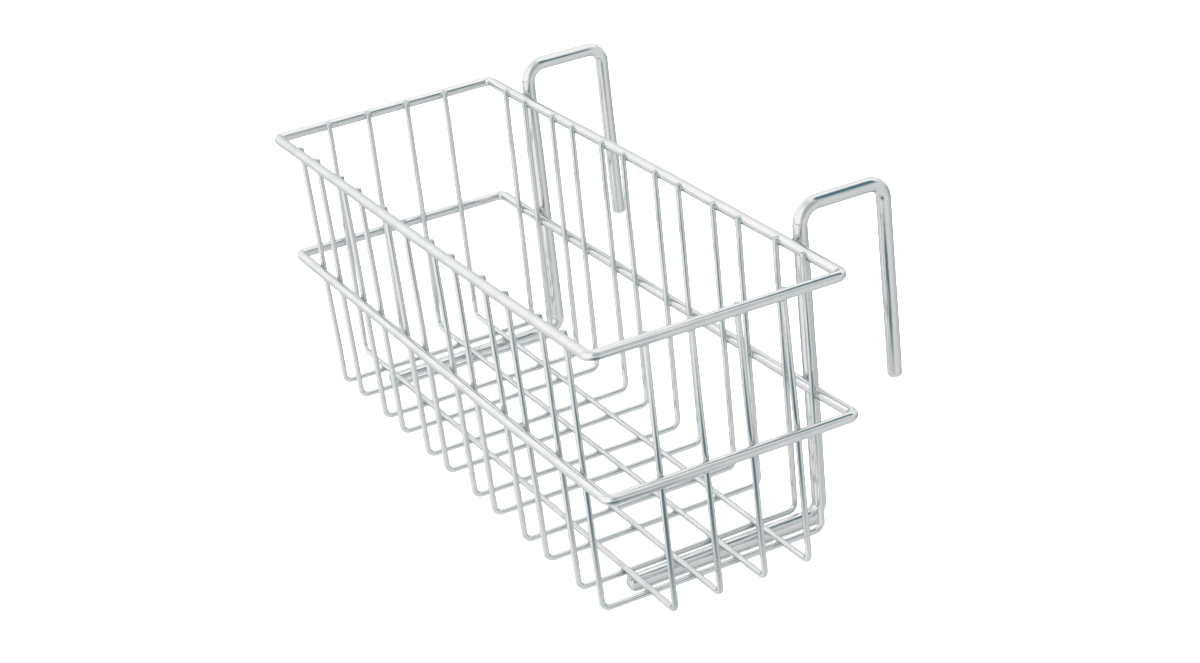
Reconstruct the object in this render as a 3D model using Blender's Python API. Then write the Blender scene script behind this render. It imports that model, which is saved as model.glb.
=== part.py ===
"""Speed rail basket: a welded wire basket that hangs on a rail by two hooks at its back.

Blender 4.5, metres, +Z up. X runs along the basket, the hooks are at +Y. Every piece is modelled about
the middle of the top rim, and the empty that carries them puts the frame's origin at the bottom centre
of the whole part's box, at the level that the hooks' feet stand on.
"""

import math

import bpy
from mathutils import Vector

# Wire thicknesses, measured across the flats of the eight-sided wires
RIM_WIRE = 0.006
GRID_WIRE = 0.0034
HOOK_ROD = 0.008

# The gap left where two welded pieces touch
CLEARANCE = 0.0003

# Top rim, from wire middle to wire middle
RIM_LENGTH = 0.406
RIM_DEPTH = 0.1429
RIM_CORNER_RADIUS = 0.0045

# Lower rim, as it differs from the top one: longer, shallower and lower
LOWER_RIM_EXTRA_LENGTH = 0.0018
LOWER_RIM_LESS_DEPTH = 0.0028
LOWER_RIM_DROP = 0.0767

# The thin wires: how far their ends rise past the rim's middle and how far their floor lies below it
GRID_END_RISE = 0.0020
FLOOR_DROP = 0.1539
GRID_BEND_RADIUS = 0.0045

# Cross wires, in even pairs along the basket, the outermost two this far in from the rim's ends
PAIR_COUNT = 6
PAIR_WIDTH = 0.0262
END_INSET = 0.0312

# Long wires, evenly spaced across the basket, the outer two this far in from the rim's sides
LONG_WIRE_COUNT = 4
SIDE_INSET = 0.0326

# Hooks: the clear gap takes a 42.2 mm (1.66 in) rail tube
HOOK_CLEAR_GAP = 0.0424
HOOK_BRIDGE_RISE = 0.0182
HOOK_FREE_LEG = 0.1102
HOOK_FOOT_FRONT = 0.0405
HOOK_BEND_RADIUS = 0.010

# How far each hook's leg leans, as a share of the back wall's lean
LEFT_LEG_LEAN = 0.4
RIGHT_LEG_LEAN = 1.0

# How much nearer the middle of the basket the right hook stands than midway in the last pair of wires
RIGHT_HOOK_OFFSET = 0.0053

# Facets: eight sides round a wire (4 and two for each step of bevel_resolution), five chords round a bend
WIRE_SIDES = 8
BEVEL_RESOLUTION = 2
BEND_STEPS = 5

# Where the pieces meet and how far apart they stand, worked out from the sizes above
RIM_TO_GRID = (RIM_WIRE + GRID_WIRE) / 2 + CLEARANCE
RIM_TO_HOOK = (RIM_WIRE + HOOK_ROD) / 2 + CLEARANCE
GRID_TO_GRID = GRID_WIRE + CLEARANCE
GRID_TO_HOOK = (GRID_WIRE + HOOK_ROD) / 2 + CLEARANCE
PAIR_PITCH = (RIM_LENGTH - 2 * END_INSET - PAIR_WIDTH) / (PAIR_COUNT - 1)
LONG_WIRE_PITCH = (RIM_DEPTH - 2 * SIDE_INSET) / (LONG_WIRE_COUNT - 1)

CROSS_FLOOR = -FLOOR_DROP
LONG_FLOOR = CROSS_FLOOR + GRID_TO_GRID
HOOK_FOOT = LONG_FLOOR - GRID_TO_HOOK
HOOK_LEG = RIM_DEPTH / 2 + RIM_TO_HOOK
HOOK_FREE = HOOK_LEG + HOOK_CLEAR_GAP + HOOK_ROD

BOX_BOTTOM = HOOK_FOOT - HOOK_ROD / 2
BOX_FRONT = -(RIM_DEPTH + max(0, -LOWER_RIM_LESS_DEPTH) + RIM_WIRE) / 2
BOX_BACK = HOOK_FREE + HOOK_ROD / 2


def clear_scene():
    for obj in list(bpy.data.objects):
        bpy.data.objects.remove(obj, do_unlink=True)


def plated_steel(name, colour, roughness):
    """Bright plated steel wire."""
    material = bpy.data.materials.new(name)
    material.use_nodes = True
    shader = material.node_tree.nodes["Principled BSDF"]
    shader.inputs["Base Color"].default_value = (*colour, 1)
    shader.inputs["Metallic"].default_value = 1
    shader.inputs["Roughness"].default_value = roughness
    return material


def rounded_corner(before, corner, after, radius):
    """Points on the arc that rounds a corner between two straight runs."""
    corner = Vector(corner)
    back = (Vector(before) - corner).normalized()
    on = (Vector(after) - corner).normalized()
    half_angle = back.angle(on) / 2
    middle = corner + (back + on).normalized() * (radius / math.sin(half_angle))
    start = (corner + back * (radius / math.tan(half_angle)) - middle).normalized()
    end = (corner + on * (radius / math.tan(half_angle)) - middle).normalized()
    return [middle + start.slerp(end, step / BEND_STEPS) * radius for step in range(BEND_STEPS + 1)]


def open_route(corners, radius):
    """A route through corners, with every corner between its two ends rounded."""
    points = [Vector(corners[0])]
    for before, corner, after in zip(corners, corners[1:], corners[2:]):
        points += rounded_corner(before, corner, after, radius)
    return points + [Vector(corners[-1])]


def closed_route(corners, radius):
    """A closed route with every corner rounded."""
    points = []
    for number, corner in enumerate(corners):
        before = corners[number - 1]
        after = corners[(number + 1) % len(corners)]
        points += rounded_corner(before, corner, after, radius)
    return points


def wire_curve(name, points, thickness, material, closed=False):
    """A wire along the points, eight-sided, turned so that flats face along the frame's axes."""
    curve = bpy.data.curves.new(name, "CURVE")
    curve.dimensions = "3D"
    curve.bevel_depth = thickness / 2 / math.cos(math.pi / WIRE_SIDES)
    curve.bevel_resolution = BEVEL_RESOLUTION
    curve.use_fill_caps = True
    spline = curve.splines.new("POLY")
    spline.points.add(len(points) - 1)
    spline.use_cyclic_u = closed
    spline.use_smooth = False
    for place, point in zip(points, spline.points):
        point.co = (*place, 1)
        point.tilt = math.pi / WIRE_SIDES
    curve.materials.append(material)
    return curve


def wall_depth(height):
    """Half the distance between the front and back rows of cross wires at a height: they touch both rims."""
    lean = LOWER_RIM_LESS_DEPTH / 2 * height / LOWER_RIM_DROP
    return RIM_DEPTH / 2 + lean - RIM_TO_GRID


def wall_length(height):
    """Half the distance between the two ends of the long wires at a height: they touch both rims."""
    lean = LOWER_RIM_EXTRA_LENGTH / 2 * height / LOWER_RIM_DROP
    return RIM_LENGTH / 2 - lean - RIM_TO_GRID


def leg_depth(height, lean):
    """The place of a hook's leg at a height: it touches the top rim and leans towards the lower one."""
    return HOOK_LEG + lean * LOWER_RIM_LESS_DEPTH / 2 * height / LOWER_RIM_DROP


def rim_curve(name, length, depth, material):
    x = length / 2
    y = depth / 2
    corners = [(-x, -y, 0), (x, -y, 0), (x, y, 0), (-x, y, 0)]
    return wire_curve(name, closed_route(corners, RIM_CORNER_RADIUS), RIM_WIRE, material, closed=True)


def cross_wire_curve(material):
    """Down the front wall, across the floor and up the back wall."""
    top = wall_depth(GRID_END_RISE)
    floor = wall_depth(CROSS_FLOOR)
    corners = [
        (0, -top, GRID_END_RISE),
        (0, -floor, CROSS_FLOOR),
        (0, floor, CROSS_FLOOR),
        (0, top, GRID_END_RISE),
    ]
    return wire_curve("cross_wire", open_route(corners, GRID_BEND_RADIUS), GRID_WIRE, material)


def long_wire_curve(material):
    """Down the left end, along the floor on the cross wires and up the right end."""
    top = wall_length(GRID_END_RISE)
    floor = wall_length(LONG_FLOOR)
    corners = [
        (-top, 0, GRID_END_RISE),
        (-floor, 0, LONG_FLOOR),
        (floor, 0, LONG_FLOOR),
        (top, 0, GRID_END_RISE),
    ]
    return wire_curve("long_wire", open_route(corners, GRID_BEND_RADIUS), GRID_WIRE, material)


def hook_curve(name, lean, material):
    """A foot under the floor, a leg up the back, a bridge over the rail and a free leg down behind it."""
    corners = [
        (0, -HOOK_FOOT_FRONT, HOOK_FOOT),
        (0, leg_depth(HOOK_FOOT, lean), HOOK_FOOT),
        (0, leg_depth(HOOK_BRIDGE_RISE, lean), HOOK_BRIDGE_RISE),
        (0, HOOK_FREE, HOOK_BRIDGE_RISE),
        (0, HOOK_FREE, HOOK_BRIDGE_RISE - HOOK_FREE_LEG),
    ]
    return wire_curve(name, open_route(corners, HOOK_BEND_RADIUS), HOOK_ROD, material)


def place(name, curve, location, collection, frame):
    obj = bpy.data.objects.new(name, curve)
    obj.location = location
    obj.parent = frame
    collection.objects.link(obj)
    return obj


def cross_wire_places():
    """The X places of the cross wires, left to right."""
    places = []
    for number in range(PAIR_COUNT):
        middle = (number - (PAIR_COUNT - 1) / 2) * PAIR_PITCH
        places += [middle - PAIR_WIDTH / 2, middle + PAIR_WIDTH / 2]
    return places


def build():
    clear_scene()
    collection = bpy.data.collections.new("speed_rail_basket")
    bpy.context.scene.collection.children.link(collection)
    frame = bpy.data.objects.new("basket_frame", None)
    frame.location = (0, -(BOX_FRONT + BOX_BACK) / 2, -BOX_BOTTOM)
    collection.objects.link(frame)

    rim_steel = plated_steel("rim_plated_steel", (0.72, 0.72, 0.71), 0.24)
    grid_steel = plated_steel("grid_plated_steel", (0.70, 0.71, 0.71), 0.22)
    hook_steel = plated_steel("hook_plated_steel", (0.70, 0.70, 0.70), 0.20)

    top_rim = rim_curve("top_rim", RIM_LENGTH, RIM_DEPTH, rim_steel)
    place("top_rim", top_rim, (0, 0, 0), collection, frame)
    lower_length = RIM_LENGTH + LOWER_RIM_EXTRA_LENGTH
    lower_depth = RIM_DEPTH - LOWER_RIM_LESS_DEPTH
    lower_rim = rim_curve("lower_rim", lower_length, lower_depth, rim_steel)
    place("lower_rim", lower_rim, (0, 0, -LOWER_RIM_DROP), collection, frame)

    cross_wire = cross_wire_curve(grid_steel)
    cross_places = cross_wire_places()
    for number, x in enumerate(cross_places, 1):
        place(f"cross_wire_{number:02d}", cross_wire, (x, 0, 0), collection, frame)

    long_wire = long_wire_curve(grid_steel)
    for number in range(LONG_WIRE_COUNT):
        y = (number - (LONG_WIRE_COUNT - 1) / 2) * LONG_WIRE_PITCH
        place(f"long_wire_{number + 1}", long_wire, (0, y, 0), collection, frame)

    # The left hook stands midway in the first pair, the right one nearer the inner wire of the last pair.
    left_hook = hook_curve("left_hook", LEFT_LEG_LEAN, hook_steel)
    right_hook = hook_curve("right_hook", RIGHT_LEG_LEAN, hook_steel)
    left_x = (cross_places[0] + cross_places[1]) / 2
    right_x = (cross_places[-2] + cross_places[-1]) / 2 - RIGHT_HOOK_OFFSET
    place("left_hook", left_hook, (left_x, 0, 0), collection, frame)
    place("right_hook", right_hook, (right_x, 0, 0), collection, frame)


if __name__ == "__main__":
    build()
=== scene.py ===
"""Looks of the speed rail basket: bright zinc-plated steel wire, welded where the wires touch.

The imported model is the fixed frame. Every eight-sided wire of it is replaced by a smooth round one on the
same route, with sheared ends, slight waviness and fused metal at each weld. Lengths are in metres.
"""

import math

import bmesh
import bpy
import numpy as np
from mathutils import Matrix, Vector


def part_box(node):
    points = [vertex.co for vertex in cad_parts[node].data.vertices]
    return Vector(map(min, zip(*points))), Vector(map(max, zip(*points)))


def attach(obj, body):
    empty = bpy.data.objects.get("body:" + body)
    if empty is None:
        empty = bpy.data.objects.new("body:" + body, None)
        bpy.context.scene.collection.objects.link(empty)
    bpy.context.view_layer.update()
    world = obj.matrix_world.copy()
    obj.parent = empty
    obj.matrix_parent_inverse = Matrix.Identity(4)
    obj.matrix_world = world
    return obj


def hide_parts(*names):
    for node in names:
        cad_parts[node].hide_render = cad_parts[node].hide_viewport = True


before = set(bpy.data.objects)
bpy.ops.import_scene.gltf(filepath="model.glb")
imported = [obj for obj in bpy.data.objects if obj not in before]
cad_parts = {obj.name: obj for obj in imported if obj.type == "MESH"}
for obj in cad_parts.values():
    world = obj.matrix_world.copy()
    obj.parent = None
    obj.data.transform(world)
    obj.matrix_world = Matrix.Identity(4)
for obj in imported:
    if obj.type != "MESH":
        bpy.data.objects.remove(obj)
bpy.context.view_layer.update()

bl_info = {
    "name": "Speed rail basket",
    "version": (1, 0, 0),
    "blender": (4, 5, 0),
    "location": "3D View > Sidebar > Basket",
    "description": "Builds a welded wire basket with two rail hooks around its packed model",
    "category": "Add Mesh",
}

BODY = "root"
MM = 0.001


# The frame's own sizes: wire thicknesses, and the middle lines of the pieces that carry the others
TOP_LOW, TOP_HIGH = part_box("top_rim")
LOW_LOW, LOW_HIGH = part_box("lower_rim")
HOOK_LOW, HOOK_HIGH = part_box("left_hook")
CROSS_LOW, CROSS_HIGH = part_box("cross_wire_01")
RIM_WIRE = TOP_HIGH.z - TOP_LOW.z
THIN_WIRE = CROSS_HIGH.x - CROSS_LOW.x
HOOK_ROD = HOOK_HIGH.x - HOOK_LOW.x
TOP_HEIGHT = (TOP_LOW.z + TOP_HIGH.z) / 2
LOWER_HEIGHT = (LOW_LOW.z + LOW_HIGH.z) / 2
CROSS_FLOOR = CROSS_LOW.z + THIN_WIRE / 2
THIN_END = CROSS_HIGH.z
FOOT_HEIGHT = HOOK_LOW.z + HOOK_ROD / 2
BRIDGE_HEIGHT = HOOK_HIGH.z - HOOK_ROD / 2
FREE_LEG_PLACE = HOOK_HIGH.y - HOOK_ROD / 2

CROSS_NODES = sorted(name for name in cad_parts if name.startswith("cross_wire"))
LONG_NODES = sorted(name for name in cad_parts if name.startswith("long_wire"))
HOOK_NODES = ("left_hook", "right_hook")


def linear(hex_code):
    """An sRGB hex colour as linear red, green, blue and alpha."""
    values = []
    for place in (1, 3, 5):
        share = int(hex_code[place : place + 2], 16) / 255
        values.append(share / 12.92 if share <= 0.04045 else ((share + 0.055) / 1.055) ** 2.4)
    return (*values, 1.0)


def length_setting(name, description, default, lowest, highest):
    """A property for a length, whose values are given here in millimetres."""
    return bpy.props.FloatProperty(
        name=name,
        description=description,
        default=default * MM,
        min=lowest * MM,
        max=highest * MM,
        subtype="DISTANCE",
        unit="LENGTH",
    )


def colour_setting(name, description, hex_code):
    """A property for a colour."""
    return bpy.props.FloatVectorProperty(
        name=name,
        description=description,
        default=linear(hex_code),
        size=4,
        min=0.0,
        max=1.0,
        subtype="COLOR",
    )


def roughness_setting(piece, default):
    """A property for the roughness of the plate on one kind of piece."""
    return bpy.props.FloatProperty(
        name=f"{piece} roughness",
        description="Roughness of the plate, away from the welds",
        default=default,
        min=0.05,
        max=0.5,
        subtype="FACTOR",
    )


class BasketSizes(bpy.types.PropertyGroup):
    """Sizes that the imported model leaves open"""

    rim_corner: length_setting(
        "Rim corner radius", "Radius of the rims' corners, to the middle of the wire", 4.5, 3.5, 9
    )
    thin_bend: length_setting(
        "Thin wire bend radius", "Radius of the bends between the walls and the floor", 4.5, 3, 9
    )
    foot_bend: length_setting(
        "Hook foot bend radius", "Radius of the bend between a hook's foot and its leg", 8, 6, 12
    )
    leg_bend: length_setting(
        "Hook leg bend radius", "Radius of the bend between a hook's leg and its bridge", 11, 9, 12
    )
    free_bend: length_setting(
        "Hook free bend radius", "Radius of the bend between a hook's bridge and its free leg", 9, 8, 11
    )
    free_leg: length_setting(
        "Hook free leg", "Length of the free leg below the middle of the bridge", 110.2, 100, 115
    )
    rim_sink: length_setting(
        "Rim weld sink", "How far a thin wire is pressed into a rim where it is welded", 1.1, 0.1, 1.4
    )
    floor_sink: length_setting(
        "Floor weld sink",
        "How far the wires of the floor and the hooks are pressed into each other",
        0.2,
        0.05,
        0.5,
    )
    front_cut: length_setting(
        "Front cut", "How much shorter the thin wires end at the front than at the back", 1.7, 0.0, 2
    )
    skew: length_setting(
        "Skew",
        "How far the basket's right end is pushed out of true at the front of the top rim",
        2.4,
        0.0,
        3,
    )
    waviness: length_setting(
        "Waviness", "How far a straightened wire still strays from its line", 0.12, 0.0, 0.4
    )


class BasketFinish(bpy.types.PropertyGroup):
    """Colours and gloss of the plated wire"""

    rim_colour: colour_setting("Rim colour", "Zinc plate on the two rims", "#E4E4E4")
    thin_colour: colour_setting("Thin wire colour", "Zinc plate on the thin wires", "#E0E1E1")
    hook_colour: colour_setting("Hook colour", "Zinc plate on the two hooks", "#E1E1E1")
    weld_colour: colour_setting("Weld colour", "Duller plate over the fused metal of a weld", "#C3C9CB")
    rim_roughness: roughness_setting("Rim", 0.14)
    thin_roughness: roughness_setting("Thin wire", 0.10)
    hook_roughness: roughness_setting("Hook", 0.08)


class BasketStage(bpy.types.PropertyGroup):
    """Floor and light"""

    floor_colour: colour_setting("Floor colour", "Matt white paper that the basket stands on", "#F4F4F3")
    overhead: bpy.props.FloatProperty(
        name="Overhead light",
        description="Strength of the soft light from above",
        default=7.0,
        min=0.0,
        max=10.0,
    )
    surround: bpy.props.FloatProperty(
        name="Surround",
        description="Brightness of the white studio that the wires mirror",
        default=1.0,
        min=0.0,
        max=3.0,
    )


# Node materials


def add_node(tree, kind, inputs=None, **settings):
    """Adds a node. Settings are its own fields; inputs are values, or sockets to link from."""
    node = tree.nodes.new(kind)
    for field, value in settings.items():
        setattr(node, field, value)
    for key, value in (inputs or {}).items():
        if isinstance(value, bpy.types.NodeSocket):
            tree.links.new(value, node.inputs[key])
        else:
            node.inputs[key].default_value = value
    return node


def new_material(name):
    """An empty node material with a shader and an output."""
    material = bpy.data.materials.new(name)
    material.use_nodes = True
    tree = material.node_tree
    tree.nodes.clear()
    output = add_node(tree, "ShaderNodeOutputMaterial")
    shader = add_node(tree, "ShaderNodeBsdfPrincipled")
    tree.links.new(shader.outputs["BSDF"], output.inputs["Surface"])
    return material, tree, shader


def zinc_plated_wire(name, colour, weld_colour, roughness, line_width, weld_tint, seed):
    """Cold-drawn steel wire, bright zinc plated with a clear blue passivation.

    The die leaves fine lines along the wire, which the thin plate follows and blurs, so mirror images are
    drawn out along it. The straightening rolls leave shallow dents that make them wander and break up. The
    passivation shifts the grey a little to blue and to straw in patches, and the plate is dull at each weld.
    """
    material, tree, shader = new_material(name)
    place = add_node(tree, "ShaderNodeAttribute", attribute_name="straightened").outputs["Vector"]
    near_weld = add_node(tree, "ShaderNodeAttribute", attribute_name="near_weld").outputs["Fac"]
    shifted = add_node(tree, "ShaderNodeVectorMath", {0: place, 1: (seed, seed, seed)}, operation="ADD")
    place = shifted.outputs[0]

    # Drawing lines, about half a millimetre wide so that they show, and some 20 mm long
    stretched = add_node(
        tree,
        "ShaderNodeVectorMath",
        {0: place, 1: (1 / line_width, 1 / line_width, 1 / (20 * MM))},
        operation="MULTIPLY",
    )
    lines = add_node(
        tree, "ShaderNodeTexNoise", {"Vector": stretched.outputs[0], "Scale": 1.0, "Detail": 2.0}
    ).outputs["Fac"]
    # Plating grain of about 0.9 mm
    grain = add_node(
        tree, "ShaderNodeTexNoise", {"Vector": place, "Scale": 1 / (0.9 * MM), "Detail": 3.0}
    ).outputs["Fac"]
    # Patches of passivation of about 14 mm
    patches = add_node(
        tree, "ShaderNodeTexNoise", {"Vector": place, "Scale": 1 / (14 * MM), "Detail": 2.0}
    ).outputs["Fac"]

    # Shallow dents of the straightening rolls, 3 mm across and 9 mm long
    flattened = add_node(
        tree,
        "ShaderNodeVectorMath",
        {0: place, 1: (1 / (3 * MM), 1 / (3 * MM), 1 / (9 * MM))},
        operation="MULTIPLY",
    )
    dents = add_node(
        tree, "ShaderNodeTexNoise", {"Vector": flattened.outputs[0], "Scale": 1.0, "Detail": 2.0}
    ).outputs["Fac"]

    cool = tuple(value * share for value, share in zip(colour[:3], (0.975, 0.99, 1.0))) + (1.0,)
    warm = tuple(value * share for value, share in zip(colour[:3], (1.0, 0.995, 0.985))) + (1.0,)
    patch_share = add_node(
        tree, "ShaderNodeMapRange", {"Value": patches, "From Min": 0.35, "From Max": 0.65}
    ).outputs["Result"]
    tinted = add_node(
        tree, "ShaderNodeMix", {"Factor": patch_share, 6: cool, 7: warm}, data_type="RGBA"
    ).outputs[2]
    line_share = add_node(
        tree,
        "ShaderNodeMapRange",
        {"Value": lines, "From Min": 0.3, "From Max": 0.7, "To Min": 0.94, "To Max": 1.0},
    ).outputs["Result"]
    lined = add_node(
        tree,
        "ShaderNodeMix",
        {"Factor": 1.0, 6: tinted, 7: line_share},
        data_type="RGBA",
        blend_type="MULTIPLY",
    ).outputs[2]
    weld_share = add_node(
        tree, "ShaderNodeMath", {0: near_weld, 1: grain}, operation="MULTIPLY"
    ).outputs[0]
    weld_share = add_node(
        tree, "ShaderNodeMath", {0: weld_share, 1: weld_tint}, operation="MULTIPLY", use_clamp=True
    ).outputs[0]
    final = add_node(
        tree, "ShaderNodeMix", {"Factor": weld_share, 6: lined, 7: tuple(weld_colour)}, data_type="RGBA"
    ).outputs[2]
    tree.links.new(final, shader.inputs["Base Color"])

    rough_lines = add_node(
        tree,
        "ShaderNodeMapRange",
        {
            "Value": lines,
            "From Min": 0.3,
            "From Max": 0.7,
            "To Min": roughness - 0.03,
            "To Max": roughness + 0.04,
        },
    ).outputs["Result"]
    rough_weld = add_node(
        tree, "ShaderNodeMath", {0: near_weld, 1: 0.1 * weld_tint, 2: rough_lines}, operation="MULTIPLY_ADD"
    ).outputs[0]
    tree.links.new(rough_weld, shader.inputs["Roughness"])
    shader.inputs["Metallic"].default_value = 1.0
    # Zinc mirrors less at a grazing angle, which draws a fine grey outline along each wire
    shader.inputs["Specular Tint"].default_value = linear("#CDD2D5")

    dent_bump = add_node(
        tree, "ShaderNodeBump", {"Height": dents, "Strength": 1.0, "Distance": 0.055 * MM}
    ).outputs["Normal"]
    line_bump = add_node(
        tree,
        "ShaderNodeBump",
        {"Height": lines, "Strength": 0.35, "Distance": 0.015 * MM, "Normal": dent_bump},
    ).outputs["Normal"]
    grain_bump = add_node(
        tree,
        "ShaderNodeBump",
        {"Height": grain, "Strength": 0.5, "Distance": 0.03 * MM, "Normal": line_bump},
    ).outputs["Normal"]
    tree.links.new(grain_bump, shader.inputs["Normal"])
    return material


def zinc_plated_weld(name, colour, roughness):
    """Steel melted and squeezed out at a resistance weld, then plated over.

    It is rounded and slightly lumpy, and its plate is duller than on the wire.
    """
    material, tree, shader = new_material(name)
    place = add_node(tree, "ShaderNodeTexCoord").outputs["Object"]
    lumps = add_node(
        tree, "ShaderNodeTexNoise", {"Vector": place, "Scale": 1 / (0.7 * MM), "Detail": 4.0}
    ).outputs["Fac"]
    spots = add_node(
        tree, "ShaderNodeTexNoise", {"Vector": place, "Scale": 1 / (2.2 * MM), "Detail": 2.0}
    ).outputs["Fac"]
    dark = tuple(value * 0.72 for value in colour[:3]) + (1.0,)
    spot_share = add_node(
        tree, "ShaderNodeMapRange", {"Value": spots, "From Min": 0.4, "From Max": 0.7}
    ).outputs["Result"]
    tinted = add_node(
        tree, "ShaderNodeMix", {"Factor": spot_share, 6: tuple(colour), 7: dark}, data_type="RGBA"
    ).outputs[2]
    tree.links.new(tinted, shader.inputs["Base Color"])
    rough = add_node(
        tree, "ShaderNodeMapRange", {"Value": lumps, "To Min": roughness + 0.06, "To Max": roughness + 0.2}
    ).outputs["Result"]
    tree.links.new(rough, shader.inputs["Roughness"])
    shader.inputs["Metallic"].default_value = 1.0
    bump = add_node(
        tree, "ShaderNodeBump", {"Height": lumps, "Strength": 0.6, "Distance": 0.08 * MM}
    ).outputs["Normal"]
    tree.links.new(bump, shader.inputs["Normal"])
    return material


def matt_white_paper(name, colour):
    """A sweep of matt white background paper: it has no gloss, and only the faintest cloudiness."""
    material, tree, shader = new_material(name)
    place = add_node(tree, "ShaderNodeTexCoord").outputs["Object"]
    clouds = add_node(
        tree, "ShaderNodeTexNoise", {"Vector": place, "Scale": 1 / 0.6, "Detail": 3.0}
    ).outputs["Fac"]
    fibres = add_node(
        tree, "ShaderNodeTexNoise", {"Vector": place, "Scale": 1 / (1.5 * MM), "Detail": 2.0}
    ).outputs["Fac"]
    shade = tuple(value * 0.985 for value in colour[:3]) + (1.0,)
    tinted = add_node(
        tree, "ShaderNodeMix", {"Factor": clouds, 6: tuple(colour), 7: shade}, data_type="RGBA"
    ).outputs[2]
    tree.links.new(tinted, shader.inputs["Base Color"])
    shader.inputs["Roughness"].default_value = 0.95
    shader.inputs["Specular IOR Level"].default_value = 0.2
    bump = add_node(
        tree, "ShaderNodeBump", {"Height": fibres, "Strength": 0.1, "Distance": 0.05 * MM}
    ).outputs["Normal"]
    tree.links.new(bump, shader.inputs["Normal"])
    return material


def finish(kind):
    """The material of one kind of piece, made when it is first asked for."""
    settings = bpy.context.scene.basket_finish
    if kind == "weld":
        name = "zinc_plated_weld_metal"
        return bpy.data.materials.get(name) or zinc_plated_weld(
            name, settings.weld_colour, settings.rim_roughness
        )
    # Name, colour, roughness, width of the drawing lines, strength of the dull plate at welds, and seed
    kinds = {
        "rim": ("zinc_plated_rim_wire", settings.rim_colour, settings.rim_roughness, 0.5 * MM, 0.35, 0.0),
        "thin": ("zinc_plated_thin_wire", settings.thin_colour, settings.thin_roughness, 0.4 * MM, 0.8, 0.31),
        "hook": ("zinc_plated_hook_rod", settings.hook_colour, settings.hook_roughness, 0.5 * MM, 0.5, 0.73),
    }
    name, colour, roughness, line_width, weld_tint, seed = kinds[kind]
    return bpy.data.materials.get(name) or zinc_plated_wire(
        name, colour, settings.weld_colour, roughness, line_width, weld_tint, seed
    )


# Where the wires run


def wall(top, lower, gap, height):
    """A place across the basket that keeps a gap to both rims, at a height."""
    share = (height - TOP_HEIGHT) / (LOWER_HEIGHT - TOP_HEIGHT)
    return top + (lower - top) * share + gap


def rim_lines(low, high):
    """The left, right, front and back middle lines of a rim."""
    half = RIM_WIRE / 2
    return low.x + half, high.x - half, low.y + half, high.y - half


TOP_LEFT, TOP_RIGHT, TOP_FRONT, TOP_BACK = rim_lines(TOP_LOW, TOP_HIGH)
LOWER_LEFT, LOWER_RIGHT, LOWER_FRONT, LOWER_BACK = rim_lines(LOW_LOW, LOW_HIGH)

# Each rim's node, height, and left, right, front and back middle lines
RIMS = (
    ("top_rim", TOP_HEIGHT, TOP_LEFT, TOP_RIGHT, TOP_FRONT, TOP_BACK),
    ("lower_rim", LOWER_HEIGHT, LOWER_LEFT, LOWER_RIGHT, LOWER_FRONT, LOWER_BACK),
)


def thin_gap(sizes):
    """From the middle of a rim to the middle of a thin wire welded to it."""
    return (RIM_WIRE + THIN_WIRE) / 2 - sizes.rim_sink


def front_wall(sizes, height):
    return wall(TOP_FRONT, LOWER_FRONT, thin_gap(sizes), height)


def back_wall(sizes, height):
    return wall(TOP_BACK, LOWER_BACK, -thin_gap(sizes), height)


def left_wall(sizes, height):
    return wall(TOP_LEFT, LOWER_LEFT, thin_gap(sizes), height)


def right_wall(sizes, height):
    return wall(TOP_RIGHT, LOWER_RIGHT, -thin_gap(sizes), height)


# How far each hook's leg leans, as a share of the back wall's lean
LEG_LEANS = {"left_hook": 0.4, "right_hook": 1.0}

# How far the end of each hook's free leg leans in towards the rail
FREE_LEG_LEANS = {"left_hook": 0.4 * MM, "right_hook": 1.0 * MM}


def leg_wall(sizes, node, height):
    """The place of a hook's leg, which is welded to the outside of both rims."""
    lower = TOP_BACK + (LOWER_BACK - TOP_BACK) * LEG_LEANS[node]
    return wall(TOP_BACK, lower, (RIM_WIRE + HOOK_ROD) / 2 - sizes.floor_sink, height)


def long_floor(sizes):
    """The height of the long wires' floor run, pressed onto the cross wires."""
    return CROSS_FLOOR + THIN_WIRE - sizes.floor_sink


def middle(node, axis):
    low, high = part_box(node)
    return (low[axis] + high[axis]) / 2


# How much of the skew each part takes, found from the photo: the front corner of the lower rim, its back
# corner, the right end's slide out at the back and in at the front, and the rise of the back
LOWER_SKEW_SHARE = 0.35
BACK_SKEW_SHARE = 0.6
END_SLIDE_SHARE = 0.4
BACK_RISE_SHARE = 0.38
# How sharply the bow of the front and that of the lower rim's back grow towards the right end
FRONT_BOW_POWER = 2.5
BACK_BOW_POWER = 6
# Where along the basket the rise starts, where it is full and where it starts to fall to the right corner
RISE_START = -150 * MM
RISE_FULL = -20 * MM
RISE_FALL = 155 * MM
# How much of the rise is there at the lower rim, and how much of it is lost at the right corner
LOWER_RISE_SHARE = 0.43
CORNER_FALL_SHARE = 0.7


def eased(values, start, end):
    """How far each value is from start to end, from 0 to 1, with a soft start and a soft end."""
    share = np.clip((values - start) / (end - start), 0, 1)
    return share * share * (3 - 2 * share)


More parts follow.
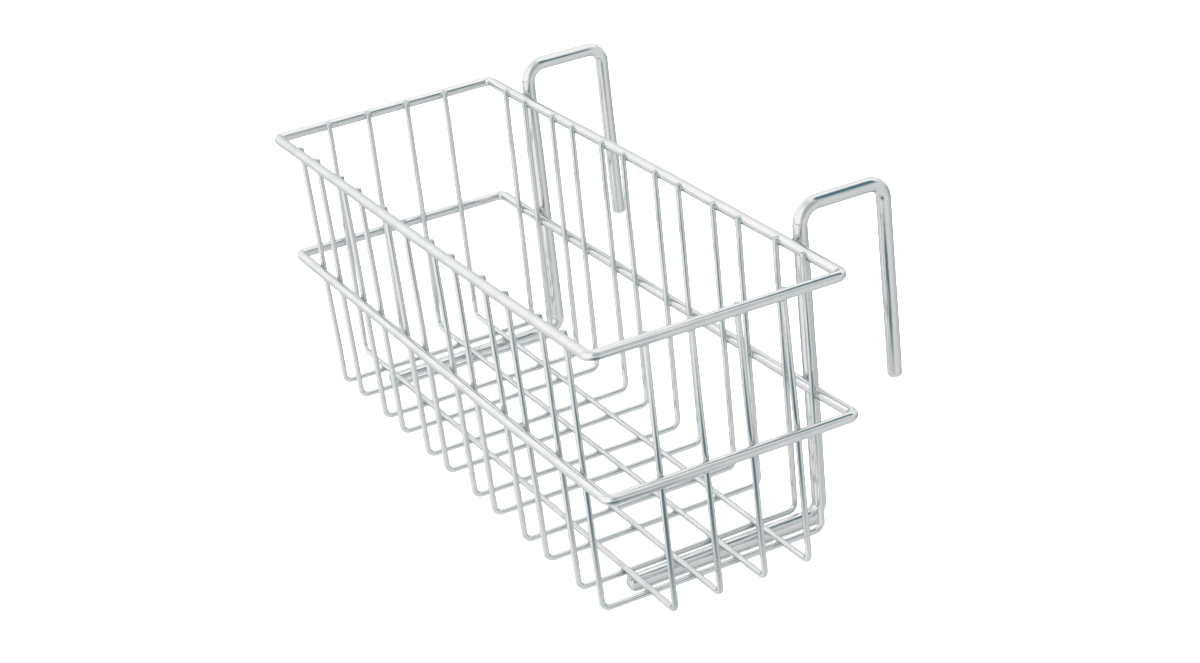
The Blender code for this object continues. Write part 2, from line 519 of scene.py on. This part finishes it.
def out_of_true(points, skew):
    """Points of the basket after its right end was pushed a little out of square.

    The front is bowed back towards its right end, most at the top, and the right end stands at a slight
    angle. The back stands a little high from its middle on, most at the top and with the right hook, and at
    the very end of the lower rim it is bowed out. Everything moves together, so the welds stay closed.
    """
    x, y, z = points[:, 0], points[:, 1], points[:, 2]
    right = np.clip(x / TOP_RIGHT, 0, 1)
    middle_line = (TOP_FRONT + TOP_BACK) / 2
    ahead = np.clip((middle_line - y) / (middle_line - TOP_FRONT), -1, 1)
    height = np.clip((z - LOWER_HEIGHT) / (TOP_HEIGHT - LOWER_HEIGHT), -1, 1)
    share = LOWER_SKEW_SHARE + (1 - LOWER_SKEW_SHARE) * height
    moved = points.copy()
    moved[:, 1] += skew * right**FRONT_BOW_POWER * np.clip(ahead, 0, 1) * np.clip(share, 0, 1)
    behind = np.clip(-ahead, 0, 1)
    upper = np.clip(height, 0, 1)
    off_floor = np.clip(1 + height, 0, 1)
    moved[:, 1] += skew * BACK_SKEW_SHARE * right**BACK_BOW_POWER * behind * (1 - upper) * off_floor
    lifted = eased(x, RISE_START, RISE_FULL) * (1 - CORNER_FALL_SHARE * eased(x, RISE_FALL, TOP_RIGHT))
    rise_share = LOWER_RISE_SHARE + (1 - LOWER_RISE_SHARE) * upper
    moved[:, 2] += skew * BACK_RISE_SHARE * lifted * behind * rise_share * off_floor
    near_end = np.clip((x - TOP_RIGHT / 2) / (TOP_RIGHT / 2), 0, 1) ** 2
    moved[:, 0] -= skew * END_SLIDE_SHARE * near_end * ahead
    return moved


# Wires as meshes

THIN_SIDES = 24
THICK_SIDES = 36
STRAIGHT_STEP = 2.0 * MM
BEND_STEP = math.radians(5)
# A sheared end: how far back each ring stands, and its share of the wire's radius
END_RINGS = ((0.0, 0.80), (0.05, 0.90), (0.16, 0.965), (0.36, 0.995), (0.62, 1.0))
# How far out of square a sheared end is, in degrees
SHEAR_ANGLES = (2.0, 6.0)
# How far from a weld the plate is dull
WELD_REACH = 2.6 * MM
# The fewest and the most waves of a wire in a length of wire, and the least and the most that each adds
WAVES = (2.0, 9.0)
WAVES_LENGTH = 0.45
WAVE_SHARES = (0.2, 0.45)
# How far a thin wire's end stands below or above its height in the frame
CUT_ERRORS = (-0.5 * MM, 0.2 * MM)
# How far from its ends a wire still runs straight
STEADY_END = 10 * MM


def routed(corners, radii, closed):
    """Points along a route whose corners are rounded, as an array."""
    corners = [Vector(corner) for corner in corners]
    count = len(corners)
    runs = []
    for number, corner in enumerate(corners):
        if not closed and number in (0, count - 1):
            runs.append([corner])
            continue
        radius = radii[number]
        back = (corners[number - 1] - corner).normalized()
        on = (corners[(number + 1) % count] - corner).normalized()
        half = back.angle(on) / 2
        centre = corner + (back + on).normalized() * (radius / math.sin(half))
        start = (corner + back * (radius / math.tan(half)) - centre).normalized()
        end = (corner + on * (radius / math.tan(half)) - centre).normalized()
        steps = max(2, round((math.pi - 2 * half) / BEND_STEP))
        runs.append([centre + start.slerp(end, step / steps) * radius for step in range(steps + 1)])
    points = []
    for number, run in enumerate(runs):
        if points or closed:
            last = runs[number - 1][-1]
            steps = max(1, round((run[0] - last).length / STRAIGHT_STEP))
            points += [last.lerp(run[0], step / steps) for step in range(1, steps)]
        points += run
    return np.array([tuple(point) for point in points])


def along(points, closed):
    """Distance along the route at each point, and the whole length."""
    steps = np.linalg.norm(np.diff(points, axis=0), axis=1)
    places = np.concatenate([[0.0], np.cumsum(steps)])
    total = places[-1]
    if closed:
        total += np.linalg.norm(points[0] - points[-1])
    return places, total


def strayed(points, normal, places, total, closed, amount, dice):
    """The slight waviness of a wire that was straightened from a coil."""
    tangent = np.gradient(points, axis=0)
    tangent /= np.linalg.norm(tangent, axis=1)[:, None]
    side = np.cross(normal, tangent)
    shift = np.zeros_like(points)
    for direction in (side, np.broadcast_to(normal, points.shape)):
        for waves in dice.uniform(*WAVES, 3) * total / WAVES_LENGTH:
            turns = round(waves) if closed else waves
            phase = dice.uniform(0, 2 * math.pi)
            swing = np.sin(2 * math.pi * turns * places / total + phase)
            shift += direction * (swing * amount * dice.uniform(*WAVE_SHARES))[:, None]
    if not closed:
        shift *= np.clip(np.minimum(places, total - places) / STEADY_END, 0, 1)[:, None]
    return points + shift


def wire_mesh(name, corners, radii, normal, thickness, sides, waviness, skew, welds, closed, seed):
    """A smooth round wire along a route that lies in the plane square to normal."""
    dice = np.random.default_rng(seed)
    points = routed(corners, radii, closed)
    normal = np.array(normal, float)
    if not closed:
        back_off = np.array([share * thickness / 2 for share, _ in END_RINGS])
        first = (points[1] - points[0]) / np.linalg.norm(points[1] - points[0])
        last = (points[-2] - points[-1]) / np.linalg.norm(points[-2] - points[-1])
        points = np.concatenate(
            [
                points[0] + np.outer(back_off, first),
                points[1:-1],
                (points[-1] + np.outer(back_off, last))[::-1],
            ]
        )
    places, total = along(points, closed)
    points = strayed(points, normal, places, total, closed, waviness, dice)
    shares = np.ones(len(points))
    if not closed:
        ring_shares = np.array([share for _, share in END_RINGS])
        shares[: len(ring_shares)] = ring_shares
        shares[-len(ring_shares) :] = ring_shares[::-1]

    if closed:
        tangent = np.roll(points, -1, axis=0) - np.roll(points, 1, axis=0)
    else:
        tangent = np.gradient(points, axis=0)
    tangent /= np.linalg.norm(tangent, axis=1)[:, None]
    up = normal - np.outer(tangent @ normal, np.ones(3)) * tangent
    up /= np.linalg.norm(up, axis=1)[:, None]
    out = np.cross(up, tangent)
    angles = np.arange(sides) * 2 * math.pi / sides
    circle = out[:, None, :] * np.cos(angles)[None, :, None] + up[:, None, :] * np.sin(angles)[None, :, None]
    rings = points[:, None, :] + circle * (shares * thickness / 2)[:, None, None]
    if not closed:
        # The shears leave each end a few degrees out of square
        for end, direction in ((0, 1.0), (-1, -1.0)):
            slant = math.tan(math.radians(dice.uniform(*SHEAR_ANGLES))) * thickness / 2
            turn = dice.uniform(0, 2 * math.pi)
            for step in range(len(END_RINGS)):
                row = step if end == 0 else -1 - step
                fade = 1 - step / len(END_RINGS)
                lean = slant * fade * (1 + np.cos(angles - turn)) * shares[row]
                rings[row] += tangent[row][None, :] * (direction * lean)[:, None]

    count = len(points)
    vertices = rings.reshape(-1, 3)
    rows = np.arange(count if closed else count - 1)
    columns = np.arange(sides)
    row, column = [grid.ravel() for grid in np.meshgrid(rows, columns, indexing="ij")]
    next_row = (row + 1) % count
    next_column = (column + 1) % sides
    near_row, far_row = row * sides, next_row * sides
    quads = [near_row + column, near_row + next_column, far_row + next_column, far_row + column]
    faces = np.stack(quads, axis=1).tolist()
    if not closed:
        first_middle = vertices[:sides].mean(axis=0) - tangent[0] * 0.02 * thickness
        last_middle = vertices[-sides:].mean(axis=0) + tangent[-1] * 0.02 * thickness
        vertices = np.concatenate([vertices, [first_middle, last_middle]])
        middle_index = count * sides
        last_row = (count - 1) * sides
        for side in range(sides):
            following = (side + 1) % sides
            faces.append([middle_index, following, side])
            faces.append([middle_index + 1, last_row + side, last_row + following])

    mesh = bpy.data.meshes.new(name)
    mesh.from_pydata(out_of_true(vertices, skew).tolist(), [], faces)
    mesh.polygons.foreach_set("use_smooth", [True] * len(mesh.polygons))

    # Coordinates of the wire as if pulled straight, for the finish to follow it
    radius = thickness / 2
    ring_of = np.minimum(np.arange(len(vertices)) // sides, count - 1)
    side_of = np.arange(len(vertices)) % sides
    flat = np.stack(
        [np.cos(angles[side_of]) * radius, np.sin(angles[side_of]) * radius, places[ring_of]], axis=1
    )
    if not closed:
        flat[-2:, :2] = 0
        flat[-2, 2] = 0
    corners_of = np.empty(len(mesh.loops), dtype=np.int64)
    mesh.loops.foreach_get("vertex_index", corners_of)
    loops = flat[corners_of]
    if closed:
        starts = np.arange(len(row)) * 4
        wrapped = np.flatnonzero(next_row < row)
        for corner in (2, 3):
            loops[starts[wrapped] + corner, 2] = total
    straightened = mesh.attributes.new("straightened", "FLOAT_VECTOR", "CORNER")
    straightened.data.foreach_set("vector", loops.ravel())

    near = np.zeros(len(vertices))
    if len(welds):
        weld_places = np.array(welds)
        for index, point in enumerate(points):
            gap = np.linalg.norm(weld_places - point, axis=1).min()
            value = math.exp(-((max(0.0, gap - thickness / 2) / WELD_REACH) ** 2))
            near[index * sides : (index + 1) * sides] = value
    near_weld = mesh.attributes.new("near_weld", "FLOAT", "POINT")
    near_weld.data.foreach_set("value", near)
    mesh.set_sharp_from_angle(angle=math.radians(50))
    mesh.validate()
    return mesh


def add_piece(name, mesh, material, replaced=()):
    """Puts a mesh in the scene as a piece of the basket."""
    mesh.materials.append(material)
    piece = bpy.data.objects.new(name, mesh)
    bpy.context.scene.collection.objects.link(piece)
    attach(piece, BODY)
    for node in replaced:
        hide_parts(node)
    return piece


# Thickness, sides and record slot of each kind of wire
WIRE_KINDS = {
    "rim": (RIM_WIRE, THICK_SIDES, "rim_wire"),
    "thin": (THIN_WIRE, THIN_SIDES, "grid_wire"),
    "hook": (HOOK_ROD, THICK_SIDES, "hook_rod"),
}


def add_wire(node, kind, corners, radii, normal, waviness, welds, seed, closed=False):
    """Builds the round wire that stands in for a node, and puts it in the scene."""
    name = f"bright_{node}"
    thickness, sides, slot = WIRE_KINDS[kind]
    skew = bpy.context.scene.basket_sizes.skew
    mesh = wire_mesh(name, corners, radii, normal, thickness, sides, waviness, skew, welds, closed, seed)
    add_piece(name, mesh, finish(kind), [node])


# Welds


def cross_places():
    return [middle(node, 0) for node in CROSS_NODES]


def long_places():
    return [middle(node, 1) for node in LONG_NODES]


# Lengths of the straight pieces of wire that a weld is shaped from: at a rim, at the floor, and a hook's leg
# above its weld, where it stays clear of the bend
RIM_RUN = 40 * MM
FLOOR_RUN = 20 * MM
LEG_OVER_WELD = 4 * MM


def run(start, end, thickness):
    """A straight piece of wire, as its two ends and its radius."""
    return np.array(start, float), np.array(end, float), thickness / 2


def weld_list(sizes):
    """Every weld, by group: its middle, and the two straight pieces of wire that it joins."""
    half = RIM_RUN / 2
    gap = thin_gap(sizes)
    groups = {"top_rim": [], "lower_rim": [], "floor": [], "hook": []}
    for rim, height, left, right, front, back in RIMS:
        upper = min(THIN_END, height + half)
        under = height - half
        for x in cross_places():
            for line, place, inward in ((front, front_wall, 1), (back, back_wall, -1)):
                bar = run((x - half, line, height), (x + half, line, height), RIM_WIRE)
                thin = run((x, place(sizes, under), under), (x, place(sizes, upper), upper), THIN_WIRE)
                spot = (x, line + inward * (gap + RIM_WIRE / 2 - THIN_WIRE / 2) / 2, height)
                groups[rim].append((spot, bar, thin))
        for y in long_places():
            for line, place, inward in ((left, left_wall, 1), (right, right_wall, -1)):
                bar = run((line, y - half, height), (line, y + half, height), RIM_WIRE)
                thin = run((place(sizes, under), y, under), (place(sizes, upper), y, upper), THIN_WIRE)
                spot = (line + inward * (gap + RIM_WIRE / 2 - THIN_WIRE / 2) / 2, y, height)
                groups[rim].append((spot, bar, thin))
        for node in HOOK_NODES:
            x = middle(node, 0)
            bar = run((x - half, back, height), (x + half, back, height), RIM_WIRE)
            y_under = leg_wall(sizes, node, under)
            over = height + LEG_OVER_WELD
            y_over = leg_wall(sizes, node, over)
            leg = run((x, y_under, under), (x, y_over, over), HOOK_ROD)
            groups["hook"].append(((x, back + RIM_WIRE / 2 - sizes.floor_sink / 2, height), bar, leg))
    upper_floor = long_floor(sizes)
    half = FLOOR_RUN / 2
    for x in cross_places():
        for y in long_places():
            cross = run((x, y - half, CROSS_FLOOR), (x, y + half, CROSS_FLOOR), THIN_WIRE)
            long = run((x - half, y, upper_floor), (x + half, y, upper_floor), THIN_WIRE)
            groups["floor"].append(((x, y, (CROSS_FLOOR + upper_floor) / 2), cross, long))
    for node in HOOK_NODES:
        x = middle(node, 0)
        for y in long_places():
            foot = run((x, max(HOOK_LOW.y, y - half), FOOT_HEIGHT), (x, y + half, FOOT_HEIGHT), HOOK_ROD)
            long = run((x - half, y, upper_floor), (x + half, y, upper_floor), THIN_WIRE)
            spot = (x, y, FOOT_HEIGHT + HOOK_ROD / 2 - sizes.floor_sink / 2)
            groups["hook"].append((spot, foot, long))
    return groups


def outside(points, wire):
    """Distance of points to the surface of a straight piece of wire with flat ends."""
    start, end, radius = wire
    axis = end - start
    length = np.linalg.norm(axis)
    axis = axis / length
    offset = points - start
    on_axis = offset @ axis
    radial = np.linalg.norm(offset - on_axis[..., None] * axis, axis=-1) - radius
    beyond = np.maximum(-on_axis, on_axis - length)
    return np.maximum(radial, beyond)


def sphere_directions(steps):
    """Directions evenly over a sphere, and the triangles between them."""
    ball = bmesh.new()
    bmesh.ops.create_icosphere(ball, subdivisions=steps, radius=1.0)
    directions = np.array([tuple(vertex.co) for vertex in ball.verts])
    triangles = [[vertex.index for vertex in face.verts] for face in ball.faces]
    ball.free()
    return directions, triangles


# How widely a bead rounds the corner between two wires, for thin wires and for hooks
THIN_BLEND = 1.1 * MM
HOOK_BLEND = 1.7 * MM
# Where a bead starts to dip under the wires and where it ends, from its middle
BEAD_CORE = 2.0 * MM
BEAD_REACH = 6.0 * MM
BEAD_SAMPLES = 72
# How far the bead's surface dips under the wires at its reach, and how quickly
BEAD_DIP = 1.6 * MM
BEAD_DIP_POWER = 1.5


def bead(spot, first, second, blend, directions, dice):
    """The fused metal between two wires: a surface that runs smoothly from one into the other.

    It is found along rays from the middle of the weld, and dips under the wires away from it.
    """
    spot = np.array(spot)
    bump = np.zeros(len(directions))
    for _ in range(4):
        axis = dice.normal(size=3)
        bump += np.sin(directions @ axis * dice.uniform(1.5, 3.5) + dice.uniform(0, 6.28))
    blend = (blend * (1 + 0.14 * bump))[:, None]
    reaches = np.linspace(0, BEAD_REACH, BEAD_SAMPLES)
    points = spot + directions[:, None, :] * reaches[None, :, None]
    one = outside(points, first)
    other = outside(points, second)
    overlap = np.clip(blend - np.abs(one - other), 0, None) / blend
    field = np.minimum(one, other) - overlap * overlap * blend / 4
    buried = np.clip((reaches - BEAD_CORE) / (BEAD_REACH - BEAD_CORE), 0, None) ** BEAD_DIP_POWER * BEAD_DIP
    field = field + buried[None, :]
    is_out = field > 0
    is_out[:, -1] = True
    hit = is_out.argmax(axis=1)
    hit = np.maximum(hit, 1)
    rows = np.arange(len(directions))
    inner = field[rows, hit - 1]
    outer = field[rows, hit]
    share = np.clip(-inner / np.where(outer - inner == 0, 1, outer - inner), 0, 1)
    distance = reaches[hit - 1] + share * (reaches[hit] - reaches[hit - 1])
    return spot + directions * distance[:, None]


def bead_mesh(name, welds, blend, skew, steps, seed):
    """All the beads of a group as one mesh."""
    directions, triangles = sphere_directions(steps)
    dice = np.random.default_rng(seed)
    vertices = []
    faces = []
    for spot, first, second in welds:
        base = sum(len(part) for part in vertices)
        vertices.append(bead(spot, first, second, blend, directions, dice))
        faces += [[base + index for index in triangle] for triangle in triangles]
    mesh = bpy.data.meshes.new(name)
    mesh.from_pydata(out_of_true(np.concatenate(vertices), skew).tolist(), [], faces)
    mesh.polygons.foreach_set("use_smooth", [True] * len(mesh.polygons))
    mesh.validate()
    return mesh


# Operators, one for each group of like pieces


class BuildRims(bpy.types.Operator):
    """Build the two closed rims of thick wire"""

    bl_idname = "basket.rims"
    bl_label = "Rims"

    def execute(self, context):
        sizes = context.scene.basket_sizes
        welds = weld_list(sizes)
        for seed, (node, height, left, right, front, back) in enumerate(RIMS):
            outline = ((left, front), (right, front), (right, back), (left, back))
            corners = [(x, y, height) for x, y in outline]
            radii = [sizes.rim_corner] * 4
            spots = [spot for spot, _, _ in welds[node]]
            add_wire(node, "rim", corners, radii, (0, 0, 1), sizes.waviness, spots, seed + 1, closed=True)
        return {"FINISHED"}


class BuildCrossWires(bpy.types.Operator):
    """Build the thin wires that run down the front, across the floor and up the back"""

    bl_idname = "basket.cross_wires"
    bl_label = "Cross wires"

    def execute(self, context):
        sizes = context.scene.basket_sizes
        dice = np.random.default_rng(40)
        for number, node in enumerate(CROSS_NODES):
            x = middle(node, 0)
            front_end, back_end = THIN_END + dice.uniform(*CUT_ERRORS, 2)
            front_end -= sizes.front_cut
            corners = [
                (x, front_wall(sizes, front_end), front_end),
                (x, front_wall(sizes, CROSS_FLOOR), CROSS_FLOOR),
                (x, back_wall(sizes, CROSS_FLOOR), CROSS_FLOOR),
                (x, back_wall(sizes, back_end), back_end),
            ]
            spots = []
            for height in (TOP_HEIGHT, LOWER_HEIGHT):
                spots += [(x, front_wall(sizes, height), height), (x, back_wall(sizes, height), height)]
            spots += [(x, y, CROSS_FLOOR) for y in long_places()]
            radii = [0, sizes.thin_bend, sizes.thin_bend, 0]
            add_wire(node, "thin", corners, radii, (1, 0, 0), sizes.waviness, spots, 100 + number)
        return {"FINISHED"}


class BuildLongWires(bpy.types.Operator):
    """Build the thin wires that run down one end, along the floor and up the other end"""

    bl_idname = "basket.long_wires"
    bl_label = "Long wires"

    def execute(self, context):
        sizes = context.scene.basket_sizes
        dice = np.random.default_rng(41)
        floor = long_floor(sizes)
        for number, node in enumerate(LONG_NODES):
            y = middle(node, 1)
            left_end, right_end = THIN_END + dice.uniform(*CUT_ERRORS, 2)
            corners = [
                (left_wall(sizes, left_end), y, left_end),
                (left_wall(sizes, floor), y, floor),
                (right_wall(sizes, floor), y, floor),
                (right_wall(sizes, right_end), y, right_end),
            ]
            spots = []
            for height in (TOP_HEIGHT, LOWER_HEIGHT):
                spots += [(left_wall(sizes, height), y, height), (right_wall(sizes, height), y, height)]
            spots += [(x, y, floor) for x in cross_places()]
            radii = [0, sizes.thin_bend, sizes.thin_bend, 0]
            add_wire(node, "thin", corners, radii, (0, 1, 0), sizes.waviness, spots, 200 + number)
        return {"FINISHED"}


class BuildHooks(bpy.types.Operator):
    """Build the two hooks of thick rod"""

    bl_idname = "basket.hooks"
    bl_label = "Hooks"

    def execute(self, context):
        sizes = context.scene.basket_sizes
        for number, node in enumerate(HOOK_NODES):
            x = middle(node, 0)
            corners = [
                (x, HOOK_LOW.y, FOOT_HEIGHT),
                (x, leg_wall(sizes, node, FOOT_HEIGHT), FOOT_HEIGHT),
                (x, leg_wall(sizes, node, BRIDGE_HEIGHT), BRIDGE_HEIGHT),
                (x, FREE_LEG_PLACE, BRIDGE_HEIGHT),
                (x, FREE_LEG_PLACE - FREE_LEG_LEANS[node], BRIDGE_HEIGHT - sizes.free_leg),
            ]
            spots = [(x, leg_wall(sizes, node, height), height) for height in (TOP_HEIGHT, LOWER_HEIGHT)]
            spots += [(x, y, FOOT_HEIGHT) for y in long_places()]
            radii = [0, sizes.foot_bend, sizes.leg_bend, sizes.free_bend, 0]
            add_wire(node, "hook", corners, radii, (1, 0, 0), sizes.waviness / 2, spots, 300 + number)
        return {"FINISHED"}


class BuildWelds(bpy.types.Operator):
    """Build the fused metal at every weld"""

    bl_idname = "basket.welds"
    bl_label = "Welds"

    def execute(self, context):
        sizes = context.scene.basket_sizes
        for seed, (group, welds) in enumerate(weld_list(sizes).items()):
            blend = HOOK_BLEND if group == "hook" else THIN_BLEND
            mesh = bead_mesh(f"{group}_welds", welds, blend, sizes.skew, 4, 500 + seed)
            add_piece(f"{group}_welds", mesh, finish("weld"))
        return {"FINISHED"}


# The stage

CAMERA_PLACE = (1.14746, -0.52877, 0.64174)
CAMERA_AZIMUTH = 65.161
CAMERA_ELEVATION = 24.314
CAMERA_ROLL = -7.157
CAMERA_LENS = 73.461
FLOOR_RADIUS = 12.0
# The overhead light: how wide its soft source is, and its lean about X and Y, in degrees
LIGHT_WIDTH = 80
LIGHT_LEANS = (12, -14)

# What the wires mirror, apart from white: the azimuth and elevation of each patch of the studio, in degrees,
# how far round its middle it is full, how far it reaches, its colour and its brightness
PATCHES = (
    ("backdrop", 180, -5, 51, 99, "#FFFFFE", 1.04),
    ("softbox on the left", -80, 12, 28, 56, "#FFFFFE", 1.24),
    ("softbox overhead", 154, 21, 20, 57, "#FFFFFE", 1.10),
    ("softbox past the far end", -158, 24, 10, 34, "#FFFFFE", 1.26),
    ("softbox over the back", 96, 64, 20, 42, "#FFFFFE", 1.22),
    ("grey wall over the camera", -3, 20, 10, 41, "#B9C1C6", 1.00),
    ("grey floor at the right", 82, -35, 15, 47, "#AAB7BA", 1.00),
    ("paper under the basket", 74, -58, 24, 48, "#E6E9E9", 1.00),
)

# Glowing sheets close enough for each wire to mirror them in another place, seen only in the metal: they
# paint dark reflections into the wires. Each has the middle, the two half sizes, the turn about Z and the
# lean in degrees, the share of the size that is full, the colour and the brightness
SCREENS = (
    ("dark_reflection_sheet", (0.27, 0.21, 0.44), (0.25, 0.155), 45, 50, 0.35, "#5F808C", 1.0),
    ("grey_reflection_sheet", (0.35, -0.12, 0.0), (0.195, 0.18), 0, 0, 0.30, "#627E89", 1.0),
)


def camera_turn():
    """The camera's right, up and back directions as the columns of a matrix."""
    azimuth, elevation, roll = (math.radians(a) for a in (CAMERA_AZIMUTH, CAMERA_ELEVATION, CAMERA_ROLL))
    level = Vector((math.sin(azimuth), -math.cos(azimuth), 0))
    back = level * math.cos(elevation) + Vector((0, 0, 1)) * math.sin(elevation)
    right = Vector((0, 0, 1)).cross(back).normalized()
    up = back.cross(right)
    turned_right = right * math.cos(roll) + up * math.sin(roll)
    turned_up = up * math.cos(roll) - right * math.sin(roll)
    return Matrix((turned_right, turned_up, back)).transposed()


def studio_world(brightness):
    """A white studio with greyer walls and floor on the camera's side, which the metal mirrors."""
    world = bpy.data.worlds.new("white_studio")
    world.use_nodes = True
    tree = world.node_tree
    tree.nodes.clear()
    direction = add_node(tree, "ShaderNodeTexCoord").outputs["Generated"]
    colour = add_node(tree, "ShaderNodeRGB").outputs[0]
    colour.default_value = linear("#EEEFEF")
    for name, azimuth, elevation, full, reach, hex_code, strength in PATCHES:
        azimuth, elevation = math.radians(azimuth), math.radians(elevation)
        pole = (
            math.cos(azimuth) * math.cos(elevation),
            math.sin(azimuth) * math.cos(elevation),
            math.sin(elevation),
        )
        closeness = add_node(
            tree, "ShaderNodeVectorMath", {0: direction, 1: pole}, operation="DOT_PRODUCT"
        ).outputs["Value"]
        share = add_node(
            tree,
            "ShaderNodeMapRange",
            {
                "Value": closeness,
                "From Min": math.cos(math.radians(reach)),
                "From Max": math.cos(math.radians(full)),
            },
            interpolation_type="SMOOTHSTEP",
            label=name,
        ).outputs["Result"]
        patch = tuple(value * strength for value in linear(hex_code)[:3]) + (1.0,)
        colour = add_node(
            tree, "ShaderNodeMix", {"Factor": share, 6: colour, 7: patch}, data_type="RGBA"
        ).outputs[2]
    mirrored = add_node(tree, "ShaderNodeBackground", {"Color": colour, "Strength": brightness}).outputs[0]
    plain = add_node(tree, "ShaderNodeBackground", {"Color": linear("#FFFFFF"), "Strength": 1.0}).outputs[0]
    rays = add_node(tree, "ShaderNodeLightPath").outputs["Is Camera Ray"]
    both = add_node(tree, "ShaderNodeMixShader", {0: rays, 1: mirrored, 2: plain}).outputs[0]
    add_node(tree, "ShaderNodeOutputWorld", {"Surface": both})
    return world


def floor_mesh(name):
    """A round floor in rings that widen outwards."""
    sides = 96
    radii = [FLOOR_RADIUS * (step / 12) ** 2 for step in range(1, 13)]
    vertices = [(0.0, 0.0, 0.0)]
    faces = []
    for ring, radius in enumerate(radii):
        for side in range(sides):
            angle = 2 * math.pi * side / sides
            vertices.append((radius * math.cos(angle), radius * math.sin(angle), 0.0))
            following = (side + 1) % sides
            if ring == 0:
                faces.append([0, 1 + side, 1 + following])
            else:
                base = 1 + (ring - 1) * sides
                faces.append([base + side, base + sides + side, base + sides + following, base + following])
    mesh = bpy.data.meshes.new(name)
    mesh.from_pydata(vertices, [], faces)
    return mesh


def painted_reflection_sheet(name, full, hex_code, strength):
    """A glowing sheet, dark in the middle and fading out to its edge, which is seen only in the metal: it
    paints a dark reflection into the wires.
    """
    material, tree, shader = new_material(name)
    tree.nodes.remove(shader)
    place = add_node(tree, "ShaderNodeTexCoord").outputs["Object"]
    distance = add_node(tree, "ShaderNodeVectorMath", {0: place}, operation="LENGTH").outputs["Value"]
    share = add_node(
        tree,
        "ShaderNodeMapRange",
        {"Value": distance, "From Min": full, "From Max": 1.0, "To Min": 1.0, "To Max": 0.0},
        interpolation_type="SMOOTHSTEP",
    ).outputs["Result"]
    clear = add_node(tree, "ShaderNodeBsdfTransparent").outputs[0]
    colour = linear(hex_code)
    # The sheet glows in its own colour instead of being lit: a painted reflection for the metal
    reflection_glow = add_node(tree, "ShaderNodeEmission", {"Color": colour, "Strength": strength}).outputs[0]
    both = add_node(tree, "ShaderNodeMixShader", {0: share, 1: clear, 2: reflection_glow}).outputs[0]
    output = tree.nodes["Material Output"]
    tree.links.new(both, output.inputs["Surface"])
    return material


def screen_mesh(name):
    """A round sheet of radius 1, which its object's scale makes as large as it is."""
    sides = 48
    angles = [2 * math.pi * side / sides for side in range(sides)]
    edge = [(math.cos(angle), math.sin(angle), 0.0) for angle in angles]
    mesh = bpy.data.meshes.new(name)
    mesh.from_pydata(edge, [], [list(range(sides))])
    return mesh


def add_screen(name, place, half_sizes, turn, lean, full, hex_code, strength):
    """Puts up a glowing screen that only the metal sees, to paint a dark reflection into it."""
    screen = bpy.data.objects.new(name, screen_mesh(name))
    screen.data.materials.append(painted_reflection_sheet(f"{name}_cloth", full, hex_code, strength))
    screen.location = place
    screen.scale = (*half_sizes, 1.0)
    screen.rotation_euler = (0.0, math.radians(lean), math.radians(turn))
    bpy.context.scene.collection.objects.link(screen)
    # Hidden from the camera, from the floor's light and from shadows, so it shows only as a painted
    # reflection in the metal
    screen.visible_camera = False
    screen.visible_diffuse = False
    screen.visible_shadow = False
    screen.visible_transmission = False


class BuildStage(bpy.types.Operator):
    """Build the floor, the light and the camera"""

    bl_idname = "basket.stage"
    bl_label = "Stage"

    def execute(self, context):
        stage = context.scene.basket_stage
        floor_object = bpy.data.objects.new("studio_floor", floor_mesh("studio_floor"))
        floor_object.data.materials.append(matt_white_paper("matt_white_paper", stage.floor_colour))
        context.scene.collection.objects.link(floor_object)
        floor_object.visible_glossy = False

        context.scene.world = studio_world(stage.surround)
        # Glowing sheets that paint dark reflections into the wires
        for screen in SCREENS:
            add_screen(*screen)

        light = bpy.data.lights.new("overhead_light", "SUN")
        light.energy = stage.overhead
        light.angle = math.radians(LIGHT_WIDTH)
        lamp = bpy.data.objects.new("overhead_light", light)
        lamp.rotation_euler = (*(math.radians(lean) for lean in LIGHT_LEANS), 0)
        lamp.visible_glossy = False
        context.scene.collection.objects.link(lamp)

        camera = bpy.data.cameras.new("camera")
        camera.sensor_width = 36
        camera.lens = CAMERA_LENS
        camera.clip_start = 0.05
        eye = bpy.data.objects.new("camera", camera)
        eye.matrix_world = Matrix.Translation(CAMERA_PLACE) @ camera_turn().to_4x4()
        context.scene.collection.objects.link(eye)
        context.scene.camera = eye
        context.scene.view_settings.view_transform = "Standard"
        return {"FINISHED"}


OPERATORS = (BuildStage, BuildRims, BuildCrossWires, BuildLongWires, BuildHooks, BuildWelds)


class BasketPanel(bpy.types.Panel):
    """The basket's settings and builders"""

    bl_idname = "VIEW3D_PT_basket"
    bl_label = "Speed rail basket"
    bl_space_type = "VIEW_3D"
    bl_region_type = "UI"
    bl_category = "Basket"

    def draw(self, context):
        layout = self.layout
        for group in (context.scene.basket_sizes, context.scene.basket_finish, context.scene.basket_stage):
            box = layout.box()
            for name in group.__annotations__:
                box.prop(group, name)
        for operator in OPERATORS:
            layout.operator(operator.bl_idname)


CLASSES = (BasketSizes, BasketFinish, BasketStage, *OPERATORS, BasketPanel)


def register():
    for one in CLASSES:
        bpy.utils.register_class(one)
    bpy.types.Scene.basket_sizes = bpy.props.PointerProperty(type=BasketSizes)
    bpy.types.Scene.basket_finish = bpy.props.PointerProperty(type=BasketFinish)
    bpy.types.Scene.basket_stage = bpy.props.PointerProperty(type=BasketStage)


def unregister():
    del bpy.types.Scene.basket_stage
    del bpy.types.Scene.basket_finish
    del bpy.types.Scene.basket_sizes
    for one in reversed(CLASSES):
        bpy.utils.unregister_class(one)


def main():
    register()
    bpy.ops.basket.stage()
    bpy.ops.basket.rims()
    bpy.ops.basket.cross_wires()
    bpy.ops.basket.long_wires()
    bpy.ops.basket.hooks()
    bpy.ops.basket.welds()


if __name__ == "__main__":
    main()
